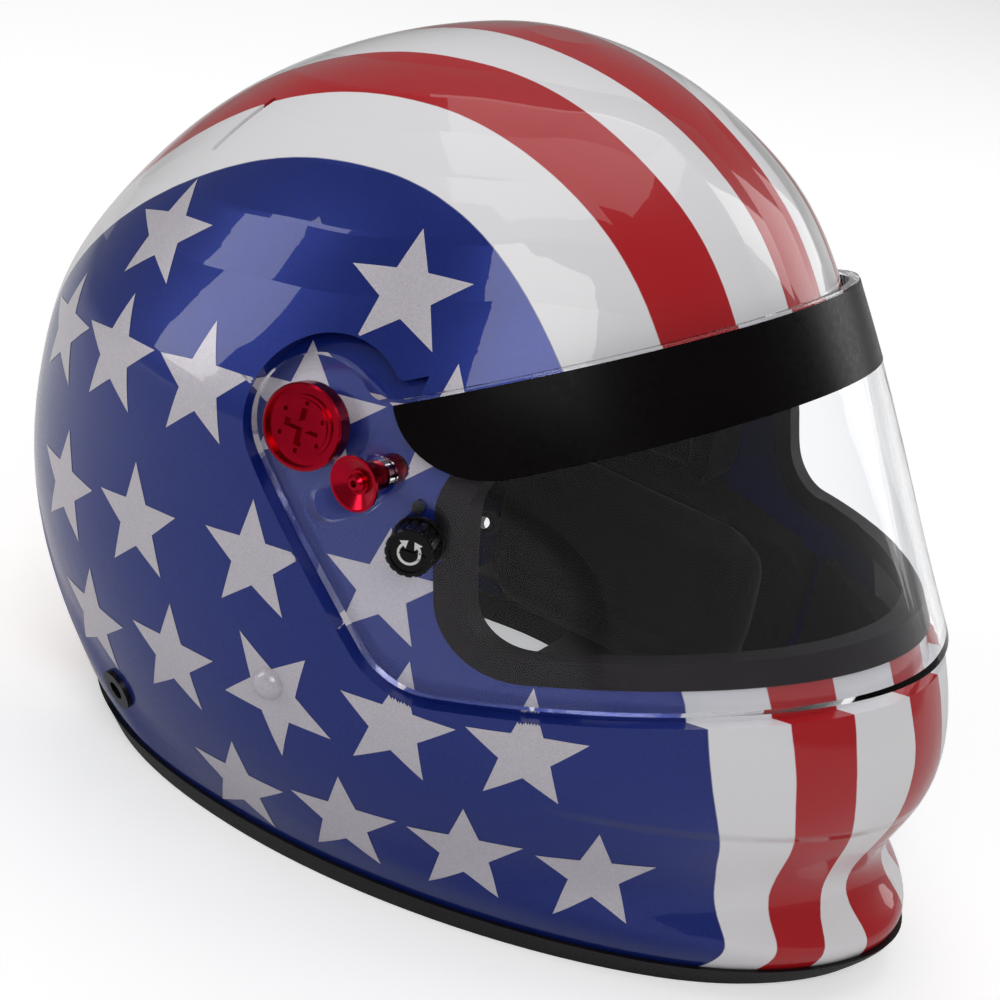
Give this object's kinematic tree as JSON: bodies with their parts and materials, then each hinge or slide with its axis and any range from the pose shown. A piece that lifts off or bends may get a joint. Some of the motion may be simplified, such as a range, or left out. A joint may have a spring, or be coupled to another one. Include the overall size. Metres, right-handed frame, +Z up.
{
  "type": "auto racing helmet",
  "caption": "Full-face racing helmet with foam liners, a hinged visor with arc slots and a lock knob, chin strap with D-rings, and tether inserts.",
  "frame": {"origin": "on the ground under the middle of the helmet", "axes": "+Z up, the wearer looks along -Y, the wearer's left is +X"},
  "size_m": [0.2584, 0.338, 0.255],
  "materials": {
    "shell_paint": "blue metallic with red and white stripes and silver stars, clear coat",
    "rubber": "matte black",
    "foam": "black bead foam",
    "liner_fabric": "black knitted fabric",
    "black_plastic": "satin black",
    "aluminium": "turned",
    "red_aluminium": "red anodised",
    "black_metal": "black oxide",
    "steel": "zinc plated",
    "webbing": "black webbing",
    "visor_clear": "clear polycarbonate",
    "strip_film": "black film"
  },
  "bodies": {
    "helmet": {"outer_shell": "shell_paint", "base_bead": "rubber", "eyeport_gasket": "rubber", "crown_liner": "foam", "comfort_liner": "liner_fabric", "chin_liner": "foam", "cheek_block_right": "foam", "cheek_block_left": "foam", "cheek_pad_right": "liner_fabric", "cheek_pad_left": "liner_fabric", "neck_roll": "liner_fabric", "pad_snaps": "black_plastic", "pivot_post_right": "aluminium", "pivot_post_left": "aluminium", "guide_cup_right": "red_aluminium", "guide_cup_left": "red_aluminium", "guide_screws": "red_aluminium", "guide_nuts": "steel", "lock_keeper": "steel", "strap_rivets": "shell_paint", "strap_anchors": "steel", "chin_strap_right": "webbing", "chin_strap_left": "webbing", "tether_inserts": "black_metal"},
    "visor": {"visor": "visor_clear", "sun_strip": "strip_film", "pivot_disc_right": "red_aluminium", "pivot_disc_left": "red_aluminium", "lock_flange": "black_plastic"},
    "lock": {"lock_knob": "black_plastic", "lock_cam": "steel"},
    "ring_upper": {"d_ring_upper": "steel"},
    "ring_lower": {"d_ring_lower": "steel"}
  },
  "joints": [
    {"name": "visor_hinge", "type": "hinge", "parent": "helmet", "child": "visor", "pos_m": [0, -0.0015, 0.1575], "axis": [-1, 0, 0], "range_deg": [0, 46]},
    {"name": "lock_turn", "type": "hinge", "parent": "visor", "child": "lock", "pos_m": [-0.11345, -0.039, 0.1345], "axis": [0.9262, 0.3694, -0.0757], "range_deg": [0, 90]},
    {"name": "upper_ring_swing", "type": "hinge", "parent": "helmet", "child": "ring_upper", "pos_m": [-0.045, -0.0013, 0.0158], "axis": [0, -1, 0], "range_deg": [0, 60]},
    {"name": "lower_ring_swing", "type": "hinge", "parent": "helmet", "child": "ring_lower", "pos_m": [-0.045, -0.0013, 0.0122], "axis": [0, 1, 0], "range_deg": [0, 20]}
  ]
}
